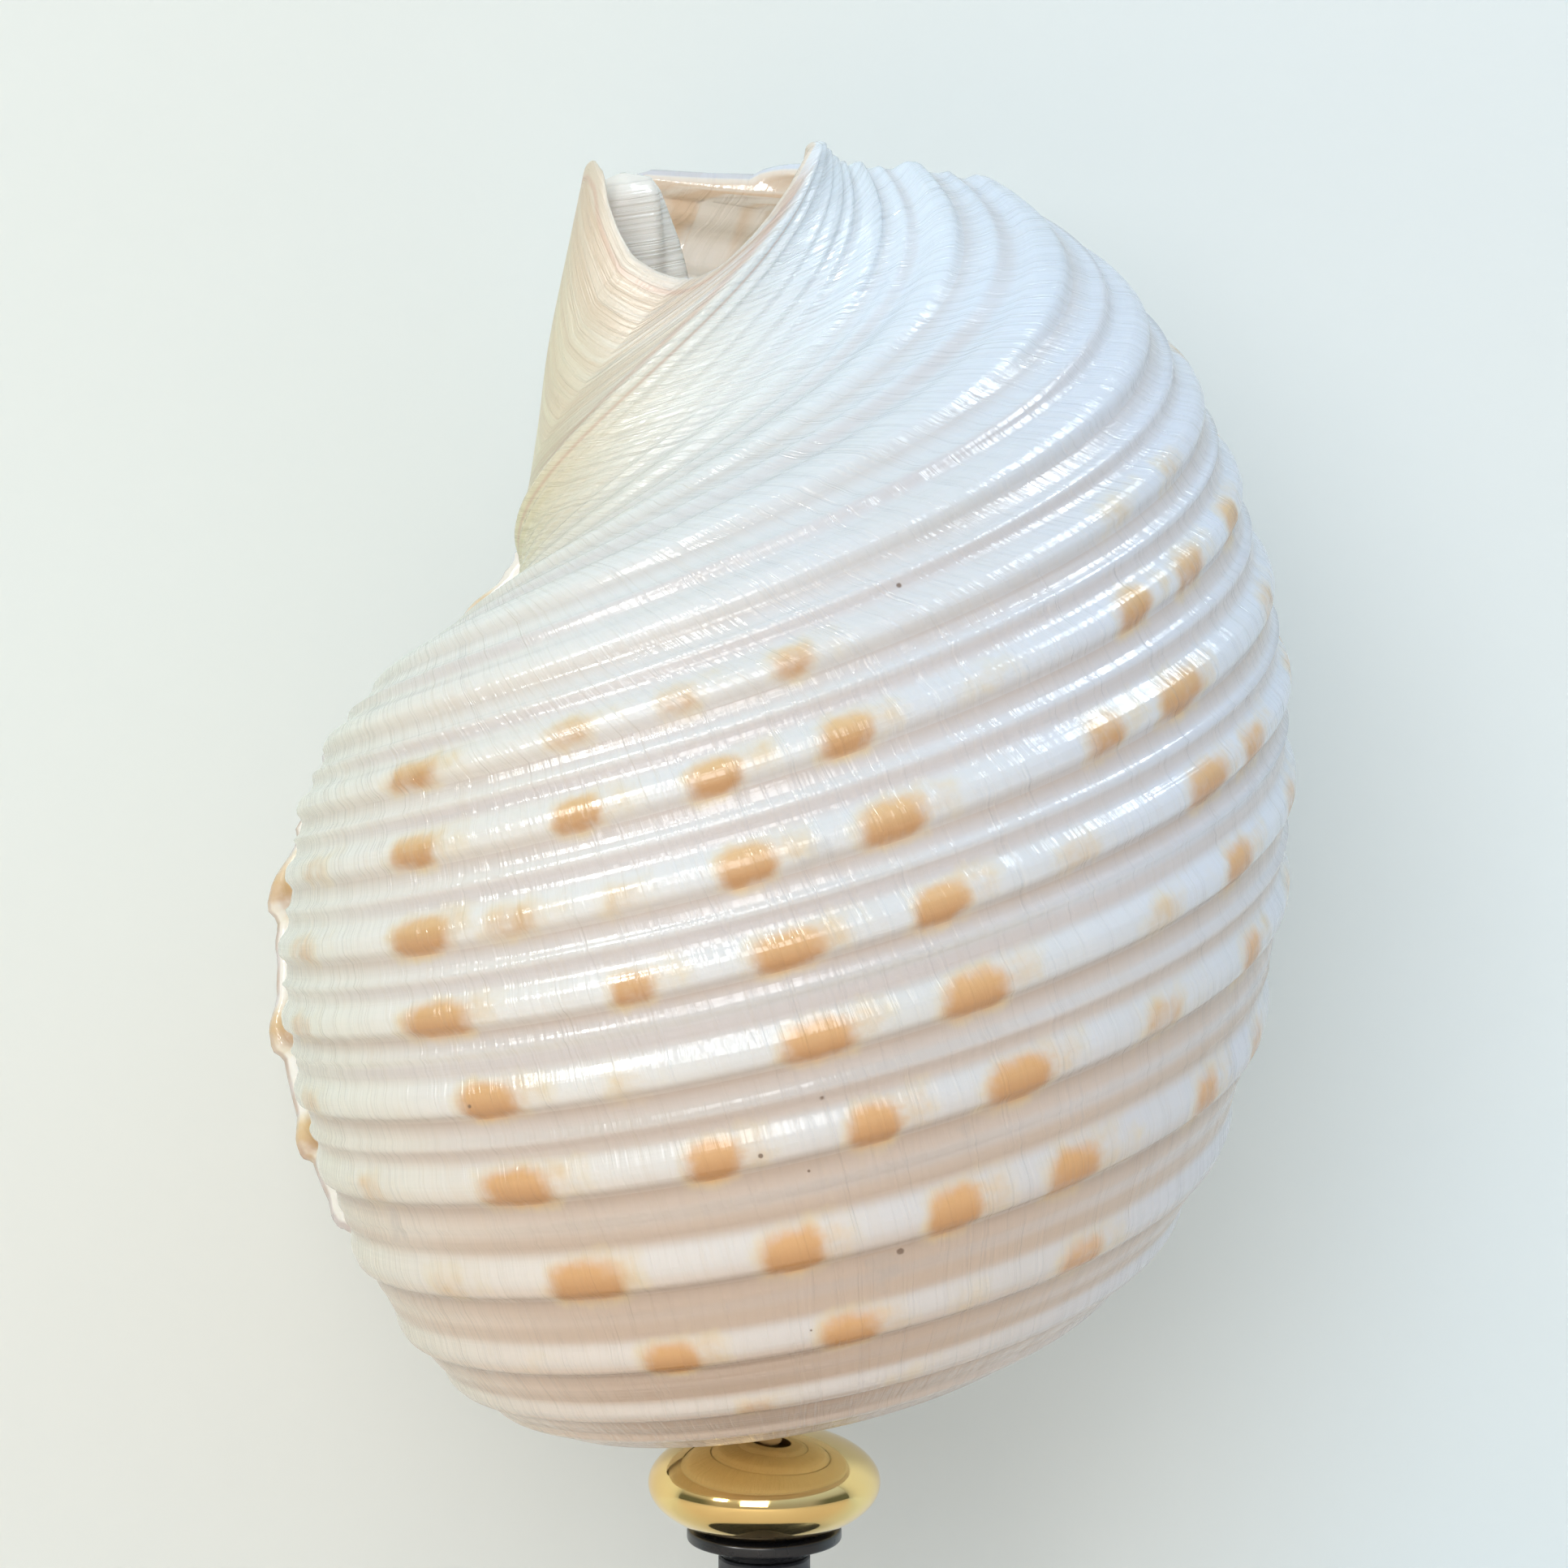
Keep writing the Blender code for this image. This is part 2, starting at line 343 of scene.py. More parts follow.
# %% Curve and lip
CURVE = np.array([
    (240, 236), (306, 238), (370, 241), (430, 268), (500, 322), (570, 413), (630, 542), (674, 693),
    (698, 824), (706, 947), (700, 1062), (675, 1179), (643, 1283), (592, 1378), (509, 1464),
    (387, 1520), (297, 1547), (253, 1593), (238, 1645), (235, 1690), (215, 1745), (188, 1835),
    (160, 1935), (118, 2035), (80, 2105), (48, 2150)], float)
LIP = np.array([
    (0, 150), (1, 152), (2, 154), (3, 154), (4, 147.5), (5, 142), (6, 136), (7, 127), (8, 111.5),
    (9, 103), (10, 100), (11, 97.5), (12, 95), (12.8, 91.5), (12.95, 88.5), (13.05, 77), (13.25, 71),
    (13.6, 52), (14, 34), (15, 28), (16, 24), (17, 12), (18, 2), (18.75, -8), (19, -13),
    (19.25, -42), (19.5, -60), (19.75, -68), (20, -73), (20.5, -82), (21, -90), (21.5, -95),
    (22, -99), (22.5, -101.5), (23, -110), (24, -135), (25, -158)], float)
RIDGE, LAST = 19, len(CURVE) - 1


def along_curve(place_on_curve):
    """Radius, height, outward direction and lip angle at places along the curve."""
    u = np.clip(np.asarray(place_on_curve, float), 0, LAST - 1e-9)
    i = u.astype(int)
    t = (u - i)[:, None]
    before, at = CURVE[np.maximum(i - 1, 0)], CURVE[i]
    after, beyond = CURVE[i + 1], CURVE[np.minimum(i + 2, LAST)]
    bend = 2 * before - 5 * at + 4 * after - beyond
    swing = 3 * at - before - 3 * after + beyond
    point = 0.5 * (2 * at + (after - before) * t + bend * t**2 + swing * t**3)
    slope = 0.5 * ((after - before) + 2 * bend * t + 3 * swing * t**2)
    outward = np.stack([slope[:, 1], -slope[:, 0]], 1)
    outward /= np.linalg.norm(outward, axis=1)[:, None]
    return point[:, 0], point[:, 1], outward, np.interp(u, LIP[:, 0], LIP[:, 1])


print("curve points:", len(CURVE))

# %% [markdown]
# ## Ribs and riblets
#
# Each broad rib rises steeply from the groove below it and falls away slowly above, and one
# or two fine riblets lie in what is left of the gap. They could be a bump alone, but the
# photograph shows them cutting the outline, so they are real relief in the sheet.

# %% Relief
RIB_PLACES = [0, 3, 4, 5, 6, 12, 13, 14, 16, 17, 18]
RIB_HEIGHTS = [0, 4, 8, 10, 14, 14, 13, 11, 8, 5, 0]
# Each riblet: its rib, how far up the gap it lies, its width and its height.
RIBLETS = [
    (5, 0.55, 0.10, 1.5), (5, 0.86, 0.06, 2), (6, 0.62, 0.050, 4.5), (6, 0.79, 0.055, 4.5),
    (7, 0.70, 0.06, 8), (8, 0.61, 0.04, 2), (8, 0.78, 0.055, 7), (9, 0.72, 0.06, 8),
    (10, 0.71, 0.06, 8), (11, 0.73, 0.06, 8), (12, 0.71, 0.06, 8), (13, 0.67, 0.07, 7),
    (14, 0.40, 0.06, 3), (14, 0.72, 0.07, 5), (15, 0.72, 0.08, 4), (16, 0.78, 0.07, 4),
    (17, 0.62, 0.10, 3)]


def step(x, low, high):
    t = np.clip((x - low) / (high - low), 0, 1)
    return t * t * (3 - 2 * t)


def bell(x, centre, width):
    return np.exp(-(((x - centre) / width) ** 2))


def relief(u):
    """How far the surface stands out: a broad rib above each groove, the riblets and the ridge."""
    share = u - np.floor(u)
    rib = step(share, 0.0, 0.15) * (1 - step(share, 0.27, 0.53))
    raised = np.where((u > 1.5) & (u < 18), np.interp(u, RIB_PLACES, RIB_HEIGHTS) * rib, 0.0)
    for rib_number, up_the_gap, width, height in RIBLETS:
        raised = raised + height * bell(u, rib_number + up_the_gap, width)
    return raised + 9 * bell(u, RIDGE - 0.05, 0.20) + 5 * bell(u, RIDGE - 0.62, 0.13)


print("riblets:", len(RIBLETS))

# %% [markdown]
# ## The spiral
#
# A logarithmic spiral needs one number: how much larger the curve gets with each turn.
# `on_spiral` turns a radius, a height and an angle into a point in the world. The earlier
# turns are lifted a little, because the real spire is lower than a pure spiral gives.
# Growth lines lean across the ribs, and the wall gets thinner towards the canal.

# %% Spiral, growth lines and wall
GROWTH_PLACES = [0, 6, 9, 12, 14, 16, 18, 19, 20, 21, 22, 23, 25]
GROWTH_ANGLES = [112, 110, 104, 97, 82, 52, 2, -13, -73, -90, -99, -110, -158]
WALL = 20.0


def on_spiral(radius, height, theta):
    """Points of the spiral in metres, in the world."""
    past = np.minimum(theta - LIFT_STARTS, 0)
    lift = np.where(theta < LIFT_STARTS, SPIRE_LIFT * (1 - np.exp(GROWTH * past)), 0)
    grown = np.exp(GROWTH * theta)
    x = grown * radius * np.cos(theta)
    y = grown * radius * np.sin(theta)
    return to_world(np.stack([x, y, grown * height + lift], -1))


def to_world(points):
    matrix = np.array(place)
    return points @ matrix[:3, :3].T + matrix[:3, 3]


def growth_at(u):
    return np.interp(u, GROWTH_PLACES, GROWTH_ANGLES)


def wall_at(u):
    return np.interp(u, [0, 18, 22, 25], [WALL, WALL, 14, 9])


print("each turn is larger by", round(math.exp(GROWTH * 2 * math.pi), 3))

# %% [markdown]
# ## A grid that follows the spiral
#
# `create_grid` makes a flat sheet, and its vertices are then moved to their places on the
# spiral. That keeps even rows along the ribs, which a sculpted or remeshed form would lose.
# Values that the material needs, such as the place along the curve, the growth lines and
# the spots, are stored on the vertices.

# %% Grid maker
def sheet(name, points, values, flip=False):
    """A grid mesh through an array of points, rows by columns, with values on its vertices."""
    rows, columns = points.shape[:2]
    bm = bmesh.new()
    bmesh.ops.create_grid(bm, x_segments=columns - 1, y_segments=rows - 1, size=1)
    if flip:
        bmesh.ops.reverse_faces(bm, faces=bm.faces)
    obj = to_object(bm, name)
    mesh = obj.data
    mesh.vertices.foreach_set("co", points.reshape(-1).astype(np.float32))
    for key, value in values.items():
        spread = np.broadcast_to(value, (rows, columns)).reshape(-1).astype(np.float32)
        mesh.attributes.new(key, "FLOAT", "POINT").data.foreach_set("value", spread)
    mesh.update()
    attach(obj, "root")
    print(name, "has", len(mesh.polygons), "faces")
    return obj


# %% [markdown]
# ## Spots
#
# The spots sit low on the broad ribs, in rows that run with the growth lines.
# Each rib is listed with the angles of its spots round the axis and how strong each one is.
# They are only colour, so they become a number on the vertices and raise nothing. A list
# places each one where the photograph has it, which noise couldn't do.

# %% Spots
SPOTS = {
    12: [(-125, 0.8), (-102, 0.6), (-89, 0.6), (-76, 0.75), (-33, 0.45), (-20, 0.5)],
    11: [(-146, 0.55), (-124, 0.9), (-101.5, 0.9), (-86, 1), (-72, 1), (-56, 0.4), (-36, 0.9), (-25, 0.8),
         (-11, 0.9)],
    10: [(-148, 0.6), (-122.5, 1), (-110, 0.6), (-97, 0.5), (-84, 1), (-69, 1), (-44.5, 0.8), (-33, 0.9),
         (-8, 0.6)],
    9: [(-150, 0.6), (-121, 1), (-97, 0.8), (-81, 1), (-65.5, 1), (-50, 0.5), (-31, 0.9), (-21, 0.8),
        (0, 0.7)],
    8: [(-152, 0.55), (-115.5, 1), (-99, 0.45), (-79, 1), (-62.5, 1), (-39.5, 0.5), (-26, 0.9), (-8, 0.7)],
    7: [(-140, 0.55), (-114.5, 1), (-91, 1), (-74, 1), (-58, 1), (-39, 0.6), (-21.5, 0.8), (-4, 0.6)],
    6: [(-130, 0.5), (-108.5, 1), (-83.5, 1), (-65, 1), (-50, 0.9), (-43.5, 0.4), (-28, 0.8), (-12.5, 0.7)],
    5: [(-122, 0.3), (-100, 1), (-77, 1), (-62, 0.4), (-45.5, 0.8)],
    4: [(-90, 0.6), (-68.5, 0.4)],
}
UP_THE_RIB, TRAIL_UP, HALF_HEIGHT, HALF_RUN = 0.21, 0.29, 0.22, 3.2


def spots_of(groove, listed):
    """All spots of one rib: angle, strength and how far up the rib the middle lies."""
    last = float(np.interp(groove + 0.25, LIP[:, 0], LIP[:, 1])) - 1
    behind = [last - 16 * n - 3 * math.sin(groove * 7 + n * 4) for n in range(1, 9)]
    spots = [(angle, strength, UP_THE_RIB) for angle, strength in listed]
    spots += [(angle, 0.8, UP_THE_RIB) for angle in behind if angle > 6]
    spots += [(last, 0.85 if groove < 11 else 0.2, UP_THE_RIB)]
    return spots + [(angle + 4.2, 0.5 * strength, TRAIL_UP) for angle, strength in listed]


def spot_field(u, theta_degrees):
    """Falls from 1 in the middle of a spot to 0 well outside it."""
    field = np.zeros(np.broadcast(u, theta_degrees).shape)
    for groove, listed in SPOTS.items():
        for angle, strength, up_the_rib in spots_of(groove, listed):
            longer = 1.2 if -160 < angle < -105 else 0
            across = (u - groove - up_the_rib) / HALF_HEIGHT
            run = (theta_degrees - angle) / (HALF_RUN + 0.5 * math.sin(angle * 3) + longer)
            distance = (np.abs(across) ** 3.2 + np.abs(run) ** 3.2) ** (1 / 3.2)
            field = np.maximum(field, strength * np.clip(1.45 - 0.85 * distance, 0, 1))
    return field


print("spots listed:", sum(len(listed) for listed in SPOTS.values()))

# %% [markdown]
# ## The last whorl
#
# This is the large outer turn, a thin wall that ends in the lip. The sheet runs from inside
# the aperture once round the axis to the lip, turns over the lip's edge and goes a little
# way back inside. A solidify modifier could thicken a plain sheet, but a turned edge made
# with the sheet itself gives the lip a round rim that follows the scallops of the ribs.

# %% Last whorl: angles
PER_RIB, OUTER_STEPS, EDGE_STEPS, BACK_STEPS = 18, 270, 8, 8
FIRST_ANGLE, NEARLY_A_TURN, BACK_INSIDE = -250, 356, 14

u_line = np.concatenate([
    np.linspace(0, 3, 13)[:-1], np.linspace(3, 18, 15 * PER_RIB + 1)[:-1],
    np.linspace(18, 20.5, 28)[:-1], np.linspace(20.5, LAST, 34)])
radius, height, outward, lip = along_curve(u_line)
raised = relief(u_line)
scallop = 0.7 * (raised / 12) * (u_line < 14) - 0.3
start = np.maximum(lip - NEARLY_A_TURN, FIRST_ANGLE)[:, None]
lip_end = (lip + scallop)[:, None]
thick = wall_at(u_line)[:, None]

theta_outer = start + (lip_end - start) * np.linspace(0, 1, OUTER_STEPS + 1)[None, :]
edge_angle = np.linspace(0, np.pi, EDGE_STEPS + 1)[None, 1:]
lip_radius = np.maximum(radius, 60)[:, None]
theta_edge = lip_end + np.degrees(thick / 2 * np.sin(edge_angle) / lip_radius)
theta_back = lip_end - np.linspace(0, BACK_INSIDE, BACK_STEPS + 1)[None, 1:]
theta = np.concatenate([theta_outer, theta_edge, theta_back], 1)
print("rows and columns:", theta.shape)

# %% [markdown]
# ## How far the last whorl stands out
#
# The ribs fade where the whorl starts, and there it sinks into the turn before, as a new
# turn is laid on the old one. The lip flares a little, and the whorl is drawn in just
# behind the shoulder on the left, as the photograph's outline shows.

# %% Last whorl: sheet
in_edge = thick / 2 * (1 - np.cos(edge_angle))
in_back = np.broadcast_to(thick, theta_back.shape)
inward = np.concatenate([np.zeros_like(theta_outer), in_edge, in_back], 1)

fade = step(theta, start + 4, start + 30) * 0.75 + 0.25
sunk = 13 * (1 - step(theta, start, start + 26))
flare_size = np.interp(u_line, [0, 3, 5, 10, 13, 13.5], [6, 6, 12, 12, 6, 0])[:, None]
flare = flare_size * np.exp(-np.clip(lip_end - theta, 0, None) / 3.5)
tuck = 12 * bell(theta, -192, 26) * np.interp(u_line, [3, 5, 11, 13], [0, 1, 1, 0])[:, None]
stand_out = raised[:, None] * fade + flare - tuck - sunk - inward

glazed = 0.6 * (1 - step(theta, start + 6, start + 34))
lined = np.maximum((inward > thick * 0.5).astype(float), glazed)
points = on_spiral(radius[:, None] + outward[:, 0:1] * stand_out,
                   height[:, None] + outward[:, 1:2] * stand_out, np.radians(theta))
last_whorl = sheet("last_whorl", points, {
    "across": u_line[:, None],
    "growth": theta - growth_at(u_line)[:, None],
    "turned": theta,
    "spot": spot_field(u_line[:, None], theta),
    "inside": lined,
    "to_lip": lip_end - theta}, flip=True)
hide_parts("shell")

# %% [markdown]
# ## The lining
#
# The lining is the inside of the last whorl, seen through the aperture and over the notch.
# It follows the outside, one wall thickness in, so the ribs show as hollows, as they do in
# so thin a shell. A sheet of its own can be coarser than the outside.

# %% Lining
IN_STEPS, IN_PER_PLACE, CLEAR = 120, 8, 0.8
u_in = np.linspace(0, LAST, LAST * IN_PER_PLACE + 1)
radius, height, outward, lip = along_curve(u_in)
inner_start = np.maximum(lip - 330, -170)[:, None]
share = np.linspace(0, 1, IN_STEPS + 1)[None, :]
theta = inner_start + (lip[:, None] - 8 - inner_start) * share
stand_out = (relief(u_in) * 0.9 - wall_at(u_in) - CLEAR)[:, None] + 0 * theta
points = on_spiral(radius[:, None] + outward[:, 0:1] * stand_out,
                   height[:, None] + outward[:, 1:2] * stand_out, np.radians(theta))
lining = sheet("lining", points, {
    "across": u_in[:, None],
    "growth": theta - growth_at(u_in)[:, None],
    "turned": theta,
    "spot": spot_field(u_in[:, None], theta) * 0.5,
    "inside": 1.0,
    "to_lip": lip[:, None] - theta})
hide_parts("shell")

# %% [markdown]
# ## The earlier whorls
#
# The earlier turns show as the low spire underneath and as the rounded wall across the
# aperture. They are the same curve at smaller angles, nearly three turns of it, a little
# smaller than the last whorl's start, so that the last whorl grows out of them without a
# seam. Their ribs are weaker where the new turn covered them with glaze.

# %% Earlier whorls
u_old = np.concatenate([
    np.linspace(0, 3, 7)[:-1], np.linspace(3, 18, 15 * 6 + 1)[:-1], np.linspace(18, LAST, 22)])
radius, height, outward, lip = along_curve(u_old)
theta = np.linspace(-1260, -198, 300)[None, :] + 0 * u_old[:, None]
stand_out = relief(u_old)[:, None] * (0.35 + 0.65 * (1 - step(theta, -330, -262)))
shrunk = 0.985 - 0.035 * step(theta, -248, -222)
points = on_spiral((radius[:, None] + outward[:, 0:1] * stand_out) * shrunk,
                   (height[:, None] + outward[:, 1:2] * stand_out) * shrunk, np.radians(theta))
earlier = sheet("earlier_whorls", points, {
    "across": u_old[:, None],
    "growth": theta - growth_at(u_old)[:, None],
    "turned": theta,
    "spot": spot_field(u_old[:, None], np.mod(theta, 360) - 200) * 0.6,
    "inside": 0.6,
    "to_lip": 200.0}, flip=True)
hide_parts("shell")

# %% [markdown]
# ## The columella
#
# The columella is the pillar that the whorls wind round. It shows in the notch as a smooth,
# pale twist with two folds. A spin would make it round, so its outline is a circle with two
# broad waves and five slight ones, and each level is turned a little further.

# %% Columella
PILLAR_HEIGHTS = [700, 1100, 1400, 1560, 1625, 1642, 1648]
PILLAR_RADII = [42, 62, 60, 54, 47, 36, 4]
TWIST = 150

heights = np.linspace(PILLAR_HEIGHTS[0], PILLAR_HEIGHTS[-1], 110)
angle = np.linspace(0, 2 * np.pi, 97)[None, :] + 0 * heights[:, None]
twisted = angle - (heights / TWIST)[:, None]
folds = 1 + 0.16 * np.cos(2 * twisted) + 0.06 * np.cos(5 * twisted)
reach = np.interp(heights, PILLAR_HEIGHTS, PILLAR_RADII)[:, None] * folds
levels = heights[:, None] + 0 * angle
points = to_world(np.stack([reach * np.cos(angle), reach * np.sin(angle), levels], -1))
columella = sheet("columella", points, {
    "across": 10.4, "growth": (heights / 4)[:, None], "turned": 0.0, "spot": 0.0,
    "inside": 0.8, "to_lip": 200.0})
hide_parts("shell")

# %% [markdown]
# ## The nucleus
#
# The nucleus is the tiny first whorl, a smooth bead at the tip of the spire. The shell
# rests on it, so it is a plain ball that closes the middle of the spiral.

# %% Nucleus
bm = bmesh.new()
bmesh.ops.create_uvsphere(bm, u_segments=32, v_segments=20, radius=NUCLEUS_RADIUS)
bmesh.ops.translate(bm, vec=place @ Vector((0, 0, SPIRE_LIFT)), verts=bm.verts)
nucleus = to_object(bm, "nucleus")
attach(nucleus, "root")
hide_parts("shell")
print("nucleus has", len(nucleus.data.polygons), "faces")

# %% [markdown]
# ## The growth relief
#
# While the animal grows, it leaves fine lines across the ribs and slow broad bands, and
# faint threads run along them. All of it is too fine for the sheet, so one node group makes
# a height for the bump, and masks for the lines and the bands, from the place along the
# curve and the growth angle. As the lines bend with the growth angle, they cross the ribs
# as they do on the real shell. Plain noise would not.

# %% Growth relief group
group = bpy.data.node_groups.new("growth_relief", "ShaderNodeTree")
for name in ("Across", "Growth"):
    group.interface.new_socket(name, in_out="INPUT", socket_type="NodeSocketFloat")
for name in ("Height", "Lines", "Bands"):
    group.interface.new_socket(name, in_out="OUTPUT", socket_type="NodeSocketFloat")
given = group.nodes.new("NodeGroupInput").outputs
result = group.nodes.new("NodeGroupOutput")
across, growth = given["Across"], given["Growth"]

wobble = times(group, noise(group, combine(group, across, growth), 0.35, 2), 6.0)
bent = maths(group, "ADD", growth, wobble)
fine = noise(group, combine(group, bent, times(group, across, 0.25)), 1.5, 5, 0.65)
broad = noise(group, combine(group, bent, times(group, across, 0.06)), 0.16, 3)
threads = noise(group, combine(group, times(group, across, 13.0), times(group, growth, 0.02)), 1.0, 2)
striae = noise(group, combine(group, bent, times(group, across, 0.5)), 1.1, 1, 0.4)
striae = smooth(group, striae, 0.36, 0.62)

height_sum = maths(group, "ADD", times(group, fine, 0.45), times(group, broad, 0.8))
height_sum = maths(group, "ADD", height_sum, times(group, threads, 0.30))
height_sum = maths(group, "ADD", height_sum, times(group, striae, 0.19))
group.links.new(height_sum, result.inputs["Height"])
group.links.new(smooth(group, fine, 0.50, 0.66), result.inputs["Lines"])
group.links.new(smooth(group, broad, 0.42, 0.60), result.inputs["Bands"])
print("growth relief:", len(group.nodes), "nodes")

# %% [markdown]
# ## The shell's ground colour
#
# The shell is white with a faint cream mottle, and creamier on its older, left side. Towards
# the canal it is bluer, a painted tint of the cool light from above, and low down it is pinkish,
# a painted warm shade that leaves out the upper sides of the ribs facing the light. It is one
# material for all the sheets, steered by the values on their vertices, so that nothing changes
# where two sheets meet.

# %% Shell: values on the vertices
shell_material, tree, shader = new_material("shell_look")
across, growth = attribute(tree, "across"), attribute(tree, "growth")
turned_by, to_lip = attribute(tree, "turned"), attribute(tree, "to_lip")
spot, lined = attribute(tree, "spot"), attribute(tree, "inside")
relief_group = node(tree, "ShaderNodeGroup", {"node_tree": group}, Across=across, Growth=growth)
coords = object_coords(tree)
mottle = noise(tree, coords, 45.0, 4)
share = maths(tree, "FRACT", across)

# %% Shell: ground colour
WHITE, WARM_WHITE, CREAM = (0.83, 0.83, 0.83, 1), (0.83, 0.81, 0.74, 1), (0.80, 0.72, 0.50, 1)
COOL_LIT_WHITE, WARM_SHADE_PINK = (0.84, 0.90, 0.91, 1), (0.78, 0.62, 0.50, 1)

colour = mix(tree, smooth(tree, mottle, 0.35, 0.7, 0.0, 0.5), WHITE, WARM_WHITE)
# Painted light: a bluish tint of the cool overhead light towards the canal.
colour = mix(tree, smooth(tree, across, 12.5, 15.5, 0.0, 0.7), colour, COOL_LIT_WHITE)
upper = smooth(tree, across, 12.5, 19.0)
older = smooth(tree, turned_by, -50.0, -140.0)
by_age = maths(tree, "ADD", times(tree, older, 0.75), 0.08)
creamy = times(tree, maths(tree, "MAXIMUM", upper, 0.2), by_age)
colour = mix(tree, creamy, colour, CREAM)

# Painted shade: a warm pink low down, left off the rib sides that face the light.
rib_top = times(tree, near(tree, share, 0.36, 0.22, 0.08, 0.55), smooth(tree, across, 3.4, 4.4))
low_warm_shade = smooth(tree, across, 9.0, 4.5, 0.0, 0.9)
colour = mix(tree, times(tree, maths(tree, "SUBTRACT", 1.0, rib_top), low_warm_shade), colour, WARM_SHADE_PINK)
print("ground colour laid")

# %% [markdown]
# ## Painted light and shade round the shell
#
# Light and shade are painted here by angle round the axis: painted shade makes the front a
# little greyer, painted tints of the light make the right side bluer and the left side greener,
# and painted shade makes the gaps low in the middle deeper. Light alone left the sides too
# much alike, so these painted tints make up the rest.

# %% Shell: painted light and shade by angle
FRONT_SHADE_TINT, RIGHT_LIGHT_TINT = (0.86, 0.885, 0.93, 1), (1.0, 1.05, 1.15, 1)
LEFT_LIGHT_TINT, LOW_SHADE_TINT = (1.01, 1.05, 0.99, 1), (0.86, 0.83, 0.81, 1)

# Painted shade: the front is made a little greyer.
front_shade = smooth(tree, turned_by, -125.0, -60.0)
front_shade = times(tree, front_shade, smooth(tree, across, 17.0, 13.5))
colour = tinted(tree, front_shade, colour, FRONT_SHADE_TINT)
# Painted light: the right side takes a bluer tint of the light.
colour = tinted(tree, smooth(tree, turned_by, -70.0, -15.0), colour, RIGHT_LIGHT_TINT)
# Painted light: the left side takes a greener tint of the light.
left_side = smooth(tree, turned_by, -120.0, -160.0)
colour = tinted(tree, left_side, colour, LEFT_LIGHT_TINT)

# Painted shade: the gaps low in the middle are darkened.
middle = times(tree, smooth(tree, turned_by, -135.0, -105.0), smooth(tree, turned_by, -45.0, -75.0))
low_gap_shade = times(tree, middle, smooth(tree, across, 10.5, 7.5), smooth(tree, share, 0.40, 0.54))
colour = tinted(tree, low_gap_shade, colour, LOW_SHADE_TINT)
print("tints laid")

# %% [markdown]
# ## Painted shade between the ribs
#
# The gap above each rib gets painted shade, greyer than the rib, cream on the left and peach
# low down, but the riblet in it stays bright where it catches the light. The rib's steep lower
# side gets a painted brown shadow, and the furrow just above the rib a painted soft lilac
# shade. All of them are found from how far up the gap a point is.

# %% Shell: painted shade in the gaps
TROUGH_SHADE, CREAM_TROUGH_SHADE, LOW_TROUGH_SHADE = (0.66, 0.60, 0.585, 1), (0.74, 0.71, 0.60, 1), (0.62, 0.48, 0.38, 1)
FLANK_SHADOW, LILAC_FURROW_SHADE, LOW_FURROW_SHADE = (0.52, 0.40, 0.32, 1), (0.64, 0.59, 0.59, 1), (0.60, 0.47, 0.37, 1)

ribbed = times(tree, smooth(tree, across, 2.5, 4.5), smooth(tree, across, 18.0, 14.5))
lower = smooth(tree, across, 14.0, 6.0)
# Painted shade: the gap above each rib is darkened, with the hue of its part of the shell.
trough_shade = times(tree, smooth(tree, share, 0.42, 0.56), ribbed)
trough_shade = times(tree, trough_shade, maths(tree, "SUBTRACT", 1.0, near(tree, share, 0.74, 0.12, 0.03, 0.8)))
trough_shade = times(tree, trough_shade, smooth(tree, across, 13.5, 11.0, 0.15, 0.65))
trough_shade = times(tree, trough_shade, smooth(tree, turned_by, -150.0, -80.0, 0.45, 1.0))
trough_shade_colour = mix(tree, smooth(tree, turned_by, -115.0, -150.0, 0.0, 0.8), TROUGH_SHADE, CREAM_TROUGH_SHADE)
trough_shade_colour = mix(tree, smooth(tree, across, 9.0, 6.3), trough_shade_colour, LOW_TROUGH_SHADE)
colour = mix(tree, trough_shade, colour, trough_shade_colour)

# Painted shadow: brown on each rib's steep lower side.
from_groove = maths(tree, "PINGPONG", across, 0.5)
flank_shadow = maths(tree, "SUBTRACT", 1.0, smooth(tree, from_groove, 0.0, 0.17))
flank_shadow = times(tree, flank_shadow, ribbed, maths(tree, "ADD", times(tree, lower, 0.42), 0.26))
colour = mix(tree, flank_shadow, colour, FLANK_SHADOW)

# Painted shade: soft lilac in the furrow just above each rib, warmer low down.
furrow_shade_colour = mix(tree, smooth(tree, across, 9.0, 6.5), LILAC_FURROW_SHADE, LOW_FURROW_SHADE)
furrow_shade_colour = mix(tree, left_side, furrow_shade_colour, trough_shade_colour)
furrow_shade = times(tree, smooth(tree, share, 0.48, 0.60), smooth(tree, share, 0.74, 0.64), ribbed)
furrow_shade = times(tree, furrow_shade, smooth(tree, mottle, 0.3, 0.7, 0.25, 0.6))
colour = mix(tree, furrow_shade, colour, furrow_shade_colour)
print("gaps coloured")

# %% [markdown]
# ## Canal, notch and ridge
#
# The fasciole is the twisted band of old growth round the canal. It is banded with beige,
# turns peach towards the notch and has a rosy line just behind the rim, where the last
# growth stopped. The ridge that borders it is rosy as well.

# %% Shell: fasciole and ridge
BEIGE, PEACH, ROSE = (0.72, 0.61, 0.45, 1), (0.72, 0.52, 0.38, 1), (0.68, 0.46, 0.36, 1)

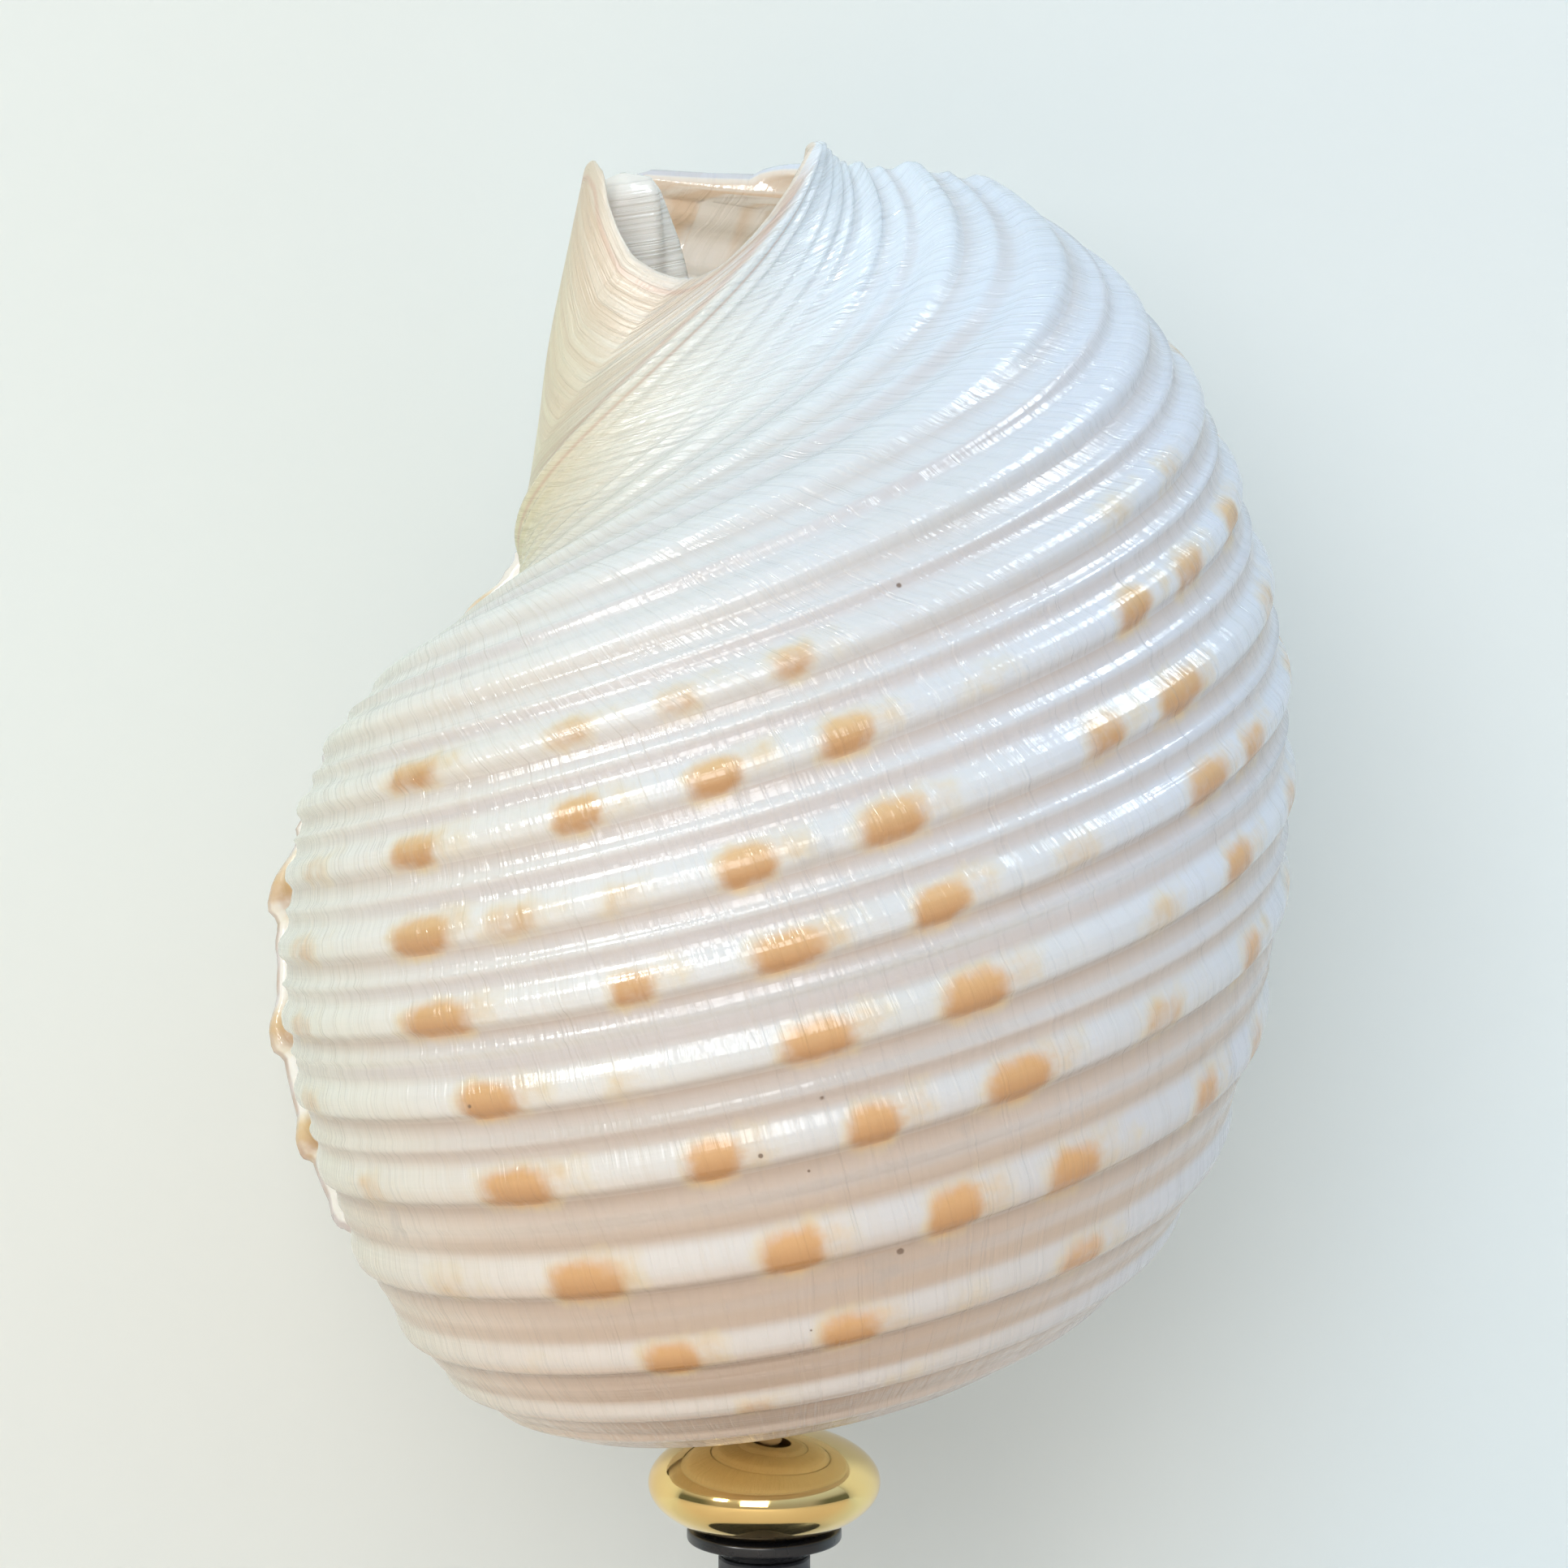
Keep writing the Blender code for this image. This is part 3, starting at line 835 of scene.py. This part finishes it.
fasciole = times(tree, smooth(tree, across, 18.9, 19.2), smooth(tree, turned_by, 20.0, -30.0))
colour = mix(tree, times(tree, fasciole, relief_group.outputs["Bands"], 0.55), colour, BEIGE)
colour = mix(tree, times(tree, fasciole, smooth(tree, to_lip, 34.0, 6.0), 0.32), colour, PEACH)
rim_line = near(tree, to_lip, 3.5, 1.8, 0.2)
colour = mix(tree, times(tree, rim_line, fasciole, 0.5), colour, ROSE)
ridge = maths(tree, "ADD", near(tree, across, 18.72, 0.10, 0.0), near(tree, across, 19.15, 0.12, 0.0))
colour = mix(tree, times(tree, ridge, 0.5), colour, ROSE)

# %% [markdown]
# ## Inside and growth lines
#
# Deep inside, the shell is a warm pearl, painted lighter and warmer than the light there makes
# it, so that the shaded hollows and the columella show white. The far lip, which shows over the
# notch, is cream with tan bands across it, painted paler as if lit through the thin wall. Over
# everything run the growth lines, stronger where it's cream.

# %% Shell: inside and lines
LIP_PALE_LIT, LIP_TAN = (0.86, 0.78, 0.69, 1), (0.72, 0.50, 0.31, 1)
LIT_PEARL, LINE = (0.95, 0.90, 0.82, 1), (0.62, 0.50, 0.34, 1)

far_lip = times(tree, lined, smooth(tree, across, 11.0, 12.4), smooth(tree, to_lip, 75.0, 30.0))
lip_bands = noise(tree, combine(tree, to_lip, times(tree, across, 0.4)), 0.16, 3)
# Partly painted light: the far lip's real cream and tan, kept pale as if lit through the wall.
lip_colour = mix(tree, smooth(tree, lip_bands, 0.42, 0.62, 0.0, 0.75), LIP_PALE_LIT, LIP_TAN)
colour = mix(tree, far_lip, colour, lip_colour)

# Painted light: the warm pearl lifts the shaded inside and the columella towards white.
lit_pearl = times(tree, lined, maths(tree, "SUBTRACT", 1.0, far_lip, clamp=True))
lit_pearl = maths(tree, "MULTIPLY", lit_pearl, 1.2, clamp=True)
colour = mix(tree, lit_pearl, colour, LIT_PEARL)
line_share = maths(tree, "ADD", times(tree, creamy, 0.35), 0.06)
colour = mix(tree, times(tree, relief_group.outputs["Lines"], line_share), colour, LINE)
print("inside and lines coloured")

# %% [markdown]
# ## Orange spots
#
# A spot is pale at its rim and orange in the middle, and it is browner at its lower side, a
# painted shade where the rib turns down. The spots high up are yellower. The number on the
# vertices gives a spot its form, and noise makes its edge ragged along the growth lines. Drawn as
# a picture, the spots would need a map laid over the whole spiral, and it would tear at the lip.

# %% Shell: spots
SPOT_YELLOW, SPOT_ORANGE = (0.76, 0.54, 0.27, 1), (0.74, 0.42, 0.18, 1)
SPOT_SHADE_BROWN, SPOT_EDGE = (0.54, 0.27, 0.10, 1), (0.80, 0.66, 0.37, 1)

blotch = noise(tree, coords, 420.0, 3)
uneven = maths(tree, "SUBTRACT", blotch, 0.5)
lined_up = maths(tree, "SUBTRACT", relief_group.outputs["Height"], 0.9)
ragged = maths(tree, "ADD", spot, times(tree, uneven, 0.7))
ragged = maths(tree, "ADD", ragged, times(tree, lined_up, 0.15))
spot_mask = times(tree, smooth(tree, ragged, 0.15, 0.94), smooth(tree, spot, 0.0, 0.2), 0.95)

orange = times(tree, lower, smooth(tree, turned_by, 90.0, 20.0))
spot_colour = mix(tree, orange, SPOT_YELLOW, SPOT_ORANGE)
# Painted shade: the spot turns browner on the rib's steep lower side.
spot_colour = mix(tree, smooth(tree, share, 0.40, 0.08, 0.0, 0.85), spot_colour, SPOT_SHADE_BROWN)
spot_colour = mix(tree, smooth(tree, spot, 0.25, 0.75), SPOT_EDGE, spot_colour)
colour = mix(tree, spot_mask, colour, spot_colour)
print("spots coloured")

# %% [markdown]
# ## Specks and grey marks
#
# A few dark specks and faint grey marks sit at places of their own. Each is the distance
# from one point on the surface, made uneven by the same noise. They need no picture and
# no relief. A mark is listed by its place along the curve, its angle and its size in units.

# %% Shell: specks and marks
SPECKS = [
    (7.6, -79, 5), (7.2, -86, 3.5), (6.9, -81, 3), (5.95, -71, 4.5), (5.35, -82, 3), (12.6, -62, 3.5),
    (8.2, -118, 4)]
SMUDGES = [(5.8, -73, 24), (6.75, -138, 22), (6.9, -64, 13), (10.2, -77, 20)]
SPECK_TONE, SMUDGE_TONE = (0.20, 0.13, 0.09, 1), (0.45, 0.42, 0.40, 1)


def marked(colour, place_on_curve, angle, size, tone, strength):
    """Lay one small mark of a tone over the colour."""
    radius, height, outward, _ = along_curve([place_on_curve])
    standing = relief(np.array([place_on_curve]))
    spot_at = on_spiral(radius + outward[:, 0] * standing, height + outward[:, 1] * standing,
                        np.radians(angle))[0]
    distance = node(tree, "ShaderNodeVectorMath", {"operation": "DISTANCE"}, i0=coords, i1=spot_at.tolist())
    away = maths(tree, "ADD", distance.outputs["Value"], times(tree, uneven, size * UNIT * 3.0))
    return mix(tree, smooth(tree, away, size * UNIT, size * UNIT * 0.4, 0.0, strength), colour, tone)


for place_on_curve, angle, size in SPECKS:
    colour = marked(colour, place_on_curve, angle, size, SPECK_TONE, 0.85)
for place_on_curve, angle, size in SMUDGES:
    colour = marked(colour, place_on_curve, angle, size, SMUDGE_TONE, 0.25)
print("marks:", len(SPECKS) + len(SMUDGES))

# %% [markdown]
# ## Gloss
#
# The shell is glossy with a dull canal. A fairly high index of refraction gives streaks as
# bright as the photograph's, and the bump breaks them into dashes. A coat would lie smooth
# over the bump, so there is none. A little light goes into the wall, as in all thin shell.

# %% Shell: gloss and bump
patchy = noise(tree, coords, 160.0, 4)
rough = maths(tree, "ADD", smooth(tree, patchy, 0.3, 0.7, 0.11, 0.22), times(tree, fasciole, 0.18))
bump = node(tree, "ShaderNodeBump", None, Strength=0.7, Distance=0.0003,
            Height=relief_group.outputs["Height"])
tree.links.new(colour, shader.inputs["Base Color"])
tree.links.new(rough, shader.inputs["Roughness"])
tree.links.new(bump.outputs[0], shader.inputs["Normal"])
shader.inputs["IOR"].default_value = 1.58
shader.inputs["Subsurface Weight"].default_value = 0.1
shader.inputs["Subsurface Radius"].default_value = (1.0, 0.7, 0.5)
shader.inputs["Subsurface Scale"].default_value = 0.0015
for obj in (last_whorl, lining, earlier, columella, nucleus):
    obj.data.materials.append(shell_material)
print("shell material:", len(tree.nodes), "nodes")

# %% [markdown]
# ## Turning the stand's pieces
#
# Base, post, collar and knob are all turned on a lathe. So each is a profile line, radius
# and height, spun a full turn round the post's axis, as a lathe does it. A cylinder with a
# bevel would give the foot, but not the knob's round or the collar's taper.

# %% Lathe
def arc(centre, size, first, last, count):
    """Points of an ellipse arc in radius and height, angles in degrees."""
    angles = np.radians(np.linspace(first, last, count))
    return [(centre[0] + size[0] * math.cos(a), centre[1] + size[1] * math.sin(a)) for a in angles]


def turned(name, profile, node_name, material, steps=128):
    """Spin a profile round the post's axis and dress one node with it."""
    bm = bmesh.new()
    spots = [bm.verts.new((r, 0, h)) for r, h in profile]
    line = [bm.edges.new(pair) for pair in zip(spots, spots[1:])]
    full_turn = {"axis": (0, 0, 1), "cent": (0, 0, 0), "steps": steps, "angle": 2 * math.pi}
    bmesh.ops.spin(bm, geom=spots + line, **full_turn)
    bmesh.ops.remove_doubles(bm, verts=bm.verts, dist=0.000004)
    bmesh.ops.recalc_face_normals(bm, faces=bm.faces)
    obj = to_object(bm, name)
    obj.data.set_sharp_from_angle(angle=math.radians(35))
    obj.data.materials.append(material)
    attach(obj, "root")
    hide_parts(node_name)
    print(name, "has", len(obj.data.polygons), "faces")
    return obj


# %% [markdown]
# ## The stand's materials
#
# The knob is polished brass with a faint tarnish and the fine rings that the lathe leaves.
# The collar and the base are glossy black with a little dust, and the post is satin black.

# %% Brass
BRASS, TARNISHED = (0.90, 0.66, 0.28, 1), (0.78, 0.52, 0.20, 1)
RING_STRETCH = (3, 3, 900)

brass, tree, shader = new_material("polished_brass")
coords = object_coords(tree)
tarnish = smooth(tree, noise(tree, coords, 90.0, 5), 0.35, 0.75, 0.0, 0.5)
rings_at = node(tree, "ShaderNodeMapping", None, Vector=coords, Scale=RING_STRETCH).outputs[0]
rings = noise(tree, rings_at, 1.0, 2)
tree.links.new(mix(tree, tarnish, BRASS, TARNISHED), shader.inputs["Base Color"])
tree.links.new(smooth(tree, rings, 0.3, 0.7, 0.05, 0.12), shader.inputs["Roughness"])
shader.inputs["Metallic"].default_value = 1.0
print("brass made")

# %% Blacks
GLOSS_BLACK, DUSTY_BLACK = (0.013, 0.014, 0.017, 1), (0.018, 0.018, 0.021, 1)
SATIN_BLACK, WORN_BLACK = (0.014, 0.015, 0.020, 1), (0.035, 0.037, 0.045, 1)

black, tree, shader = new_material("black_gloss")
dust = noise(tree, object_coords(tree), 300.0, 4)
dusty = smooth(tree, dust, 0.5, 0.8, 0.0, 0.5)
tree.links.new(mix(tree, dusty, GLOSS_BLACK, DUSTY_BLACK), shader.inputs["Base Color"])
tree.links.new(smooth(tree, dust, 0.3, 0.7, 0.26, 0.31), shader.inputs["Roughness"])

satin, tree, shader = new_material("black_satin")
grain = noise(tree, object_coords(tree), 900.0, 3)
tree.links.new(mix(tree, grain, SATIN_BLACK, WORN_BLACK), shader.inputs["Base Color"])
tree.links.new(smooth(tree, grain, 0.3, 0.7, 0.38, 0.52), shader.inputs["Roughness"])
bump = node(tree, "ShaderNodeBump", None, Strength=0.15, Distance=0.0001, Height=grain)
tree.links.new(bump.outputs[0], shader.inputs["Normal"])
print("blacks made")

# %% [markdown]
# ## Base and post
#
# The photograph cuts the post, so the base isn't seen. A plain round foot stands in for it,
# with a rounded upper edge and a small one below. The post is a rod with broken edges.

# %% Base and post
BASE_RADIUS, TOP_ROUND, LOW_ROUND = 0.040, 0.002, 0.0005
POST_RADIUS, BROKEN = 0.00475, 0.0002

base_profile = [(0, BASE_HEIGHT)]
base_profile += arc((BASE_RADIUS - TOP_ROUND, BASE_HEIGHT - TOP_ROUND), (TOP_ROUND, TOP_ROUND), 90, 0, 9)
base_profile += arc((BASE_RADIUS - LOW_ROUND, LOW_ROUND), (LOW_ROUND, LOW_ROUND), 0, -90, 4)
base_profile += [(0, 0)]
turned("base_look", base_profile, "base", black)

post_low = BASE_HEIGHT + GAP
post_top = post_low + POST_LENGTH
post_profile = [
    (0, post_top), (POST_RADIUS - BROKEN, post_top), (POST_RADIUS, post_top - BROKEN),
    (POST_RADIUS, post_low + BROKEN), (POST_RADIUS - BROKEN, post_low), (0, post_low)]
turned("post_look", post_profile, "post", satin)

# %% [markdown]
# ## Collar and knob
#
# The collar is a thin disc with a rounded rim that narrows to the post. The knob is a
# flattened ball, cut flat underneath where it sits on the collar.

# %% Collar and knob
COLLAR_RADIUS, RIM_WIDE, RIM_HIGH = 0.008, 0.0002, 0.0003

collar_low = post_top + GAP
collar_top = collar_low + COLLAR_HEIGHT
rim = COLLAR_RADIUS - RIM_WIDE
collar_profile = [(0, collar_top)]
collar_profile += arc((rim, collar_top - 0.0003), (RIM_WIDE, RIM_HIGH), 90, 0, 5)
collar_profile += arc((rim, collar_top - 0.0009), (RIM_WIDE, RIM_HIGH), 0, -90, 5)
collar_profile += [(0.0062, collar_low + 0.0009), (0.0053, collar_low + 0.0004)]
collar_profile += [(POST_RADIUS, collar_low), (0, collar_low)]
turned("collar_look", collar_profile, "collar", black)

knob_low = collar_top + GAP
knob_middle = (0, knob_low + KNOB_BELOW)
cut = -math.degrees(math.asin(KNOB_BELOW / KNOB_HALF_HEIGHT))
knob_profile = arc(knob_middle, (KNOB_WIDTH, KNOB_HALF_HEIGHT), 90, cut, 60) + [(0, knob_low)]
knob_profile[0] = (0, knob_profile[0][1])
turned("knob_look", knob_profile, "knob", brass)
